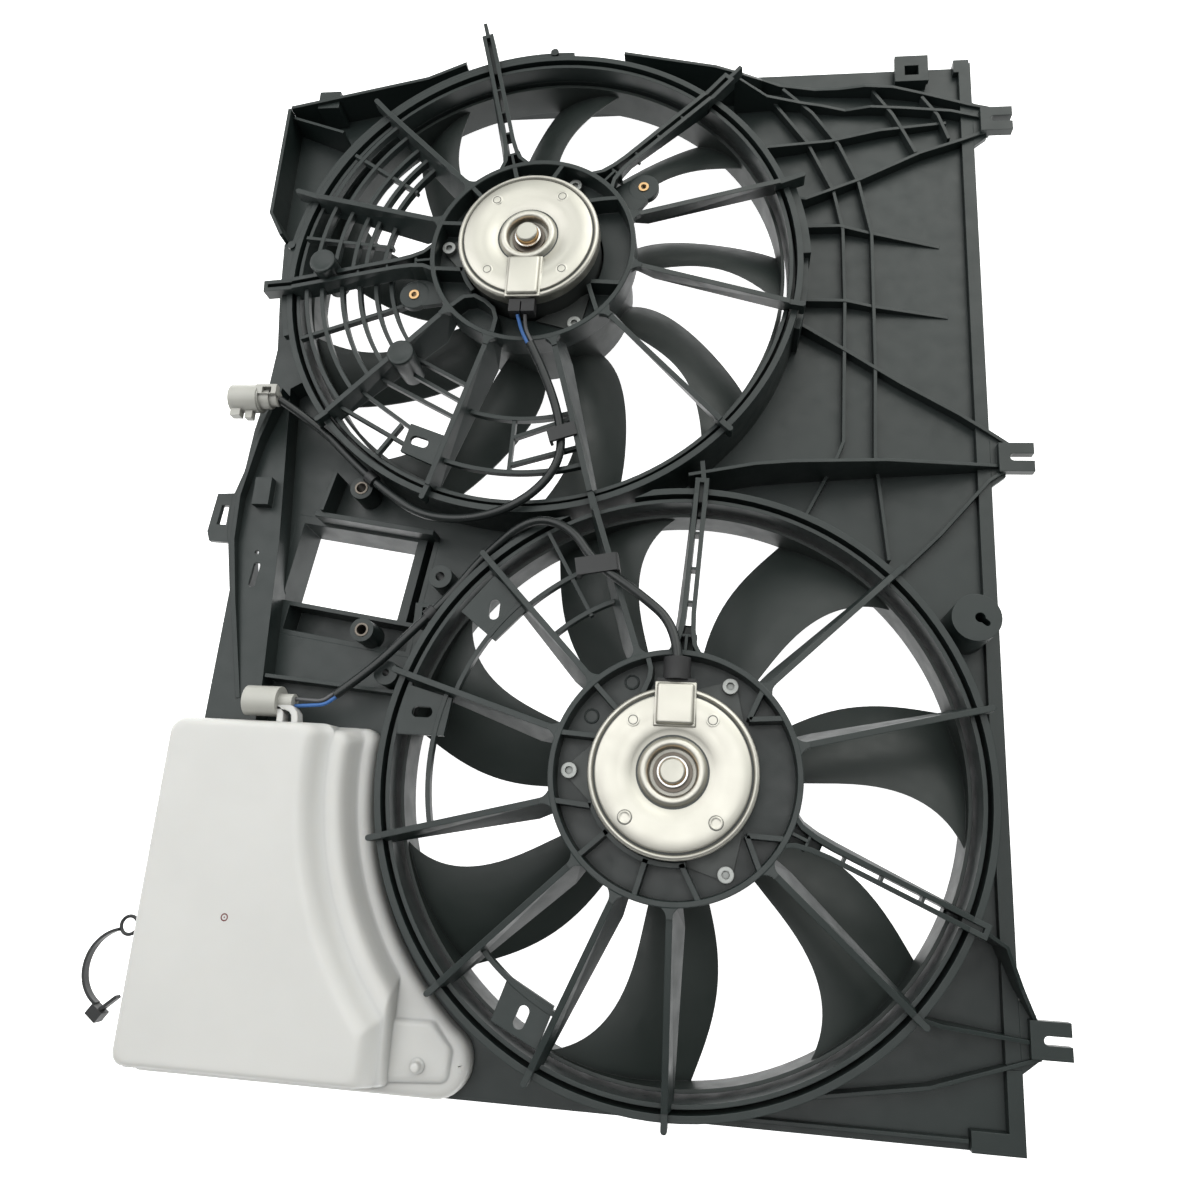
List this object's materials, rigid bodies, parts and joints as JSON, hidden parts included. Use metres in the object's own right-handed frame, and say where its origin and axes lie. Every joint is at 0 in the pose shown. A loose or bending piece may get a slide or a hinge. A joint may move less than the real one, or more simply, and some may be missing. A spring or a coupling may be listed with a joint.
{
  "type": "radiator fan shroud",
  "caption": "Twin-fan radiator cooling shroud: moulded panel with two collared motor-driven fans, ribbed guards, wiring leads and an overflow tank.",
  "frame": {"origin": "centre of the bounding box in plan, on the plane of the radiator-side rim", "axes": "+Z from the radiator side to the motor side (fan axes), +Y along the long side towards the fan without the tank, +X towards the three forks"},
  "size_m": [0.5868, 0.7474, 0.104],
  "materials": {
    "shroud_plastic": "satin dark grey-green",
    "fan_plastic": "satin",
    "ferrite": "dull sintered",
    "copper": "turned copper",
    "steel": "bright",
    "bronze": "sintered bronze",
    "nickel": "satin nickel plate",
    "brass": "turned",
    "card": "phenolic",
    "carbon": "carbon",
    "tank_plastic": "off-white semi-gloss",
    "connector_plastic": "light warm grey",
    "rubber": "black",
    "wire_blue": "blue insulation",
    "wire_grey": "light grey insulation",
    "black_plastic": "black"
  },
  "bodies": {
    "shroud": {"brass_inserts": "brass", "cable_tie": "black_plastic", "coolant_tank": "tank_plastic", "harness_clips": "shroud_plastic", "lower_bearings": "bronze", "lower_brush_card": "card", "lower_brushes": "carbon", "lower_collar": "shroud_plastic", "lower_connector": "connector_plastic", "lower_grommet": "rubber", "lower_guard_grille": "shroud_plastic", "lower_guard_hub": "shroud_plastic", "lower_guard_ring": "shroud_plastic", "lower_guard_stays": "shroud_plastic", "lower_harness_sleeve": "black_plastic", "lower_lead_black": "black_plastic", "lower_lead_blue": "wire_blue", "lower_magnets": "ferrite", "lower_motor_can": "steel", "lower_motor_cap": "nickel", "module_sleeves": "steel", "motor_screws": "steel", "mounting_bosses": "shroud_plastic", "mounting_forks": "shroud_plastic", "panel_flanges": "shroud_plastic", "panel_lugs": "shroud_plastic", "panel_ribs": "shroud_plastic", "panel_rim": "shroud_plastic", "shroud_panel": "shroud_plastic", "tie_ring": "steel", "upper_bearings": "bronze", "upper_brush_card": "card", "upper_brushes": "carbon", "upper_collar": "shroud_plastic", "upper_connector": "connector_plastic", "upper_grommet": "rubber", "upper_guard_grille": "shroud_plastic", "upper_guard_hub": "shroud_plastic", "upper_guard_posts": "shroud_plastic", "upper_guard_ring": "shroud_plastic", "upper_guard_stays": "shroud_plastic", "upper_harness_sleeve": "black_plastic", "upper_lead_blue": "wire_blue", "upper_lead_grey": "wire_grey", "upper_magnets": "ferrite", "upper_motor_can": "steel", "upper_motor_cap": "nickel", "window_duct": "shroud_plastic"},
    "upper_rotor": {"upper_fan": "fan_plastic", "upper_fan_nut": "steel", "upper_motor_shaft": "steel", "upper_armature": "steel", "upper_commutator": "copper"},
    "lower_rotor": {"lower_fan": "fan_plastic", "lower_fan_nut": "steel", "lower_motor_shaft": "steel", "lower_armature": "steel", "lower_commutator": "copper"}
  },
  "joints": [
    {"name": "upper_fan_spin", "type": "hinge", "parent": "shroud", "child": "upper_rotor", "pos_m": [-0.03805, 0.1618, 0.06], "axis": [0, 0, 1], "continuous": true},
    {"name": "lower_fan_spin", "type": "hinge", "parent": "shroud", "child": "lower_rotor", "pos_m": [0.07195, -0.1842, 0.06], "axis": [0, 0, 1], "continuous": true}
  ]
}
